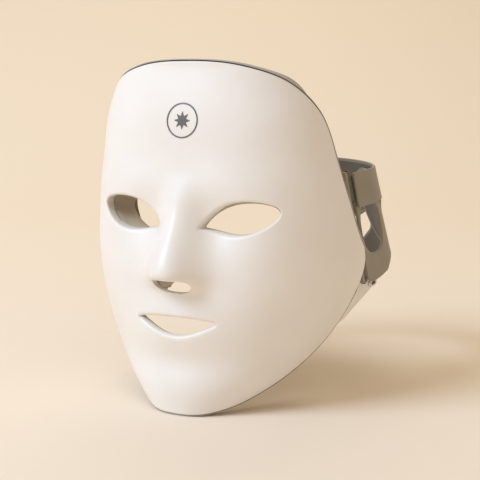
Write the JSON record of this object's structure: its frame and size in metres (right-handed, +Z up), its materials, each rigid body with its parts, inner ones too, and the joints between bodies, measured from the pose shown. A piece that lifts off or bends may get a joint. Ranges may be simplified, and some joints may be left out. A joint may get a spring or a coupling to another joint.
{
  "type": "led_face_mask",
  "caption": "Rigid white light-therapy face mask with eye, nose and mouth holes, a taupe inner skin, side housings and a hinged taupe silicone headband with ear openings",
  "frame": {"origin": "the middle of the underside of the whole box: under the chin, on the centre line, at rest with the headband closed", "axes": "+X is the wearer's left, +Y runs from the face to the back of the head, +Z is up; the face looks along -Y"},
  "size_m": [0.1892, 0.2454, 0.2315],
  "materials": {
    "shell_white": "warm white moulded shell, satin",
    "seam_grey": "matte grey seam gasket",
    "inner_skin": "taupe inner skin, soft touch",
    "silicone_taupe": "matte taupe silicone",
    "circuit_board": "green circuit board with light chips",
    "clear_lens": "frosted clear lens",
    "steel": "small bright steel parts",
    "print_ink": "grey printed sign",
    "battery_wrap": "wrapped pouch cell",
    "black_plastic": "black switch body"
  },
  "bodies": {
    "mask": {"front_shell": "shell_white", "seam_gasket": "seam_grey", "rear_shell": "inner_skin", "forehead_lens": "clear_lens", "forehead_led_board": "circuit_board", "left_cheek_lens": "clear_lens", "left_cheek_led_board": "circuit_board", "right_cheek_lens": "clear_lens", "right_cheek_led_board": "circuit_board", "chin_lens": "clear_lens", "chin_led_board": "circuit_board", "left_flex_cable": "circuit_board", "right_flex_cable": "circuit_board", "left_eye_guard": "silicone_taupe", "right_eye_guard": "silicone_taupe", "forehead_bumper": "silicone_taupe", "nose_bridge_bumper": "silicone_taupe", "rear_screw_1": "steel", "rear_screw_2": "steel", "rear_screw_3": "steel", "rear_screw_4": "steel", "emblem_ring": "print_ink", "emblem_sun": "print_ink", "left_side_housing": "shell_white", "left_housing_cover": "inner_skin", "left_housing_screw": "steel", "left_upper_anchor": "silicone_taupe", "left_lower_anchor": "silicone_taupe", "left_upper_pin": "steel", "left_lower_pin": "steel", "left_anchor_screw": "steel", "right_side_housing": "shell_white", "right_housing_cover": "inner_skin", "right_housing_screw": "steel", "right_upper_anchor": "silicone_taupe", "right_lower_anchor": "silicone_taupe", "right_upper_pin": "steel", "right_lower_pin": "steel", "right_anchor_screw": "steel", "usb_c_socket": "steel", "charge_board": "circuit_board", "battery": "battery_wrap", "control_board": "circuit_board", "power_switch": "black_plastic", "status_light": "clear_lens"},
    "left_band": {"left_ear_band": "silicone_taupe", "left_back_band": "silicone_taupe", "left_rivet": "steel", "left_upper_clasp": "steel", "left_lower_clasp": "steel"},
    "right_band": {"right_ear_band": "silicone_taupe", "right_back_band": "silicone_taupe", "right_rivet": "steel", "right_upper_clasp": "steel", "right_lower_clasp": "steel"},
    "power_button_cap": {"power_button": "shell_white"},
    "usb_flap": {"usb_cover": "silicone_taupe"}
  },
  "joints": [
    {"name": "left_band_swing", "type": "hinge", "parent": "mask", "child": "left_band", "pos_m": [0.0875, -0.00738, 0.11704], "axis": [0, 0.4472, -0.8944], "range_deg": [0, 75]},
    {"name": "right_band_swing", "type": "hinge", "parent": "mask", "child": "right_band", "pos_m": [-0.0875, -0.00738, 0.11704], "axis": [0, -0.4472, 0.8944], "range_deg": [0, 75]},
    {"name": "power_button_press", "type": "slide", "parent": "mask", "child": "power_button_cap", "axis": [1, 0, 0], "range_m": [0, 0.0008], "stiffness_N_per_m": 400},
    {"name": "usb_flap_open", "type": "hinge", "parent": "mask", "child": "usb_flap", "pos_m": [0.08475, 0.03152, 0.07104], "axis": [0, 0, -1], "range_deg": [0, 100]}
  ]
}
